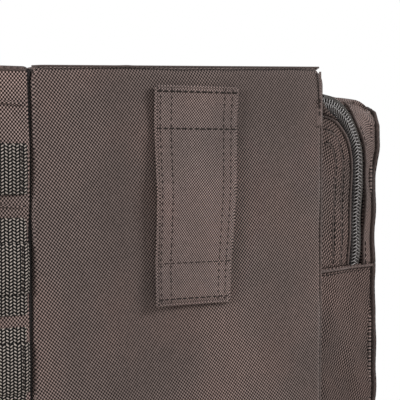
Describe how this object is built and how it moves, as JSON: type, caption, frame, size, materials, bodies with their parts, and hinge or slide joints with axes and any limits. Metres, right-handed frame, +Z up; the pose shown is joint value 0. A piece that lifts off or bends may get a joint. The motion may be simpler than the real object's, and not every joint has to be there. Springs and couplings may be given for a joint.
{
  "type": "trauma backpack",
  "caption": "Boxy fabric trauma backpack: clamshell front cover with zipped pockets, side grab bands, rear sleeve with webbing rows, padded harness and waist belt.",
  "frame": {"origin": "middle of the base panel's underside, under the main compartment's centre, where the pack stands on the floor", "axes": "+Z up, -Y the front with the cover and pockets, +Y the rear with the harness, -X the wearer's left"},
  "size_m": [0.3178, 0.3489, 0.46],
  "materials": {
    "fabric": "matte coated polyester weave",
    "band": "matte coated polyester weave",
    "webbing": "ribbed webbing",
    "mesh": "spacer mesh",
    "loop": "loop pile",
    "coil": "nylon coil on tape",
    "plastic": "moulded acetal",
    "slider": "black painted zinc",
    "board": "polyethylene sheet",
    "stay": "mill",
    "rubber": "coated base fabric"
  },
  "bodies": {
    "bag": {"main_tub": "fabric", "base_panel": "rubber", "frame_sheet": "board", "frame_stay_left": "stay", "frame_stay_right": "stay", "module_pouch_lower": "fabric", "module_pouch_middle": "fabric", "module_pouch_upper": "fabric", "rear_sleeve": "fabric", "gusset_webbing_left": "webbing", "gusset_webbing_right": "webbing", "grab_band_left": "band", "grab_band_right": "band", "main_zip_tub": "coil", "harness_yoke": "fabric", "back_pad_left": "mesh", "back_pad_right": "mesh", "lumbar_pad": "mesh", "shoulder_strap_left": "fabric", "shoulder_strap_right": "fabric", "strap_webbing_left": "webbing", "strap_webbing_right": "webbing", "ladder_lock_left": "plastic", "ladder_lock_right": "plastic", "lower_strap_left": "webbing", "lower_strap_right": "webbing", "waist_wing_left": "fabric", "waist_wing_right": "fabric", "waist_webbing_left": "webbing", "waist_buckle_female": "plastic"},
    "cover": {"front_cover": "fabric", "cover_mesh_pocket": "mesh", "main_zip_cover": "coil", "upper_pocket_bucket": "fabric", "upper_zip_bucket": "coil", "lower_pocket": "fabric", "lower_zip": "coil", "front_webbing": "webbing"},
    "upper_flap": {"upper_pocket_flap": "fabric", "upper_zip_flap": "coil", "id_loop_panel": "loop"},
    "main_slider_left": {"main_slider_left": "slider"},
    "main_slider_right": {"main_slider_right": "slider"},
    "main_pull_tab_left": {"main_pull_tab_left": "plastic"},
    "main_pull_tab_right": {"main_pull_tab_right": "plastic"},
    "upper_slider_left": {"upper_slider_left": "slider"},
    "upper_slider_right": {"upper_slider_right": "slider"},
    "upper_pull_tab_left": {"upper_pull_tab_left": "plastic"},
    "upper_pull_tab_right": {"upper_pull_tab_right": "plastic"},
    "lower_slider": {"lower_slider": "slider"},
    "lower_pull_tab": {"lower_pull_tab": "plastic"},
    "haul_handle": {"haul_handle": "webbing"},
    "sternum_strap": {"sternum_clip_left": "plastic", "sternum_clip_right": "plastic", "sternum_webbing_left": "webbing", "sternum_buckle_female": "plastic"},
    "sternum_release": {"sternum_webbing_right": "webbing", "sternum_buckle_male": "plastic"},
    "waist_release": {"waist_webbing_right": "webbing", "waist_buckle_male": "plastic"}
  },
  "joints": [
    {"name": "cover_hinge", "type": "hinge", "parent": "bag", "child": "cover", "pos_m": [0, -0.08395, 0.012], "axis": [1, 0, 0], "range_deg": [0, 110]},
    {"name": "upper_flap_hinge", "type": "hinge", "parent": "cover", "child": "upper_flap", "pos_m": [0, -0.1359, 0.345], "axis": [1, 0, 0], "range_deg": [0, 100]},
    {"name": "main_slider_left_travel", "type": "slide", "parent": "cover", "child": "main_slider_left", "axis": [-1, 0, 0], "range_m": [0, 0.13]},
    {"name": "main_slider_right_travel", "type": "slide", "parent": "cover", "child": "main_slider_right", "axis": [1, 0, 0], "range_m": [0, 0.07]},
    {"name": "main_pull_tab_left_hinge", "type": "hinge", "parent": "main_slider_left", "child": "main_pull_tab_left", "pos_m": [0.029, -0.0902, 0.4559], "axis": [0, 0, 1], "range_deg": [0, 120]},
    {"name": "main_pull_tab_right_hinge", "type": "hinge", "parent": "main_slider_right", "child": "main_pull_tab_right", "pos_m": [0.051, -0.0902, 0.4559], "axis": [0, 0, -1], "range_deg": [0, 120]},
    {"name": "upper_slider_left_travel", "type": "slide", "parent": "upper_flap", "child": "upper_slider_left", "axis": [-1, 0, 0], "range_m": [0, 0.055]},
    {"name": "upper_slider_right_travel", "type": "slide", "parent": "upper_flap", "child": "upper_slider_right", "axis": [1, 0, 0], "range_m": [0, 0.165]},
    {"name": "upper_pull_tab_left_hinge", "type": "hinge", "parent": "upper_slider_left", "child": "upper_pull_tab_left", "pos_m": [-0.066, -0.09315, 0.44933], "axis": [0, 1, 0], "range_deg": [0, 120]},
    {"name": "upper_pull_tab_right_hinge", "type": "hinge", "parent": "upper_slider_right", "child": "upper_pull_tab_right", "pos_m": [-0.044, -0.09315, 0.44933], "axis": [0, -1, 0], "range_deg": [0, 120]},
    {"name": "lower_slider_travel", "type": "slide", "parent": "cover", "child": "lower_slider", "axis": [-1, 0, 0], "range_m": [0, 0.18]},
    {"name": "lower_pull_tab_hinge", "type": "hinge", "parent": "lower_slider", "child": "lower_pull_tab", "pos_m": [0.097, -0.09315, 0.17933], "axis": [0, 1, 0], "range_deg": [0, 120]},
    {"name": "haul_handle_lift", "type": "hinge", "parent": "bag", "child": "haul_handle", "pos_m": [0, 0.1376, 0.438], "axis": [1, 0, 0], "range_deg": [0, 110]},
    {"name": "sternum_height", "type": "slide", "parent": "bag", "child": "sternum_strap", "axis": [0, 0, 1], "range_m": [-0.06, 0.04]},
    {"name": "sternum_buckle_release", "type": "slide", "parent": "sternum_strap", "child": "sternum_release", "axis": [1, 0, 0], "range_m": [0, 0.04]},
    {"name": "waist_buckle_release", "type": "slide", "parent": "bag", "child": "waist_release", "axis": [1, 0, 0], "range_m": [0, 0.045]}
  ]
}
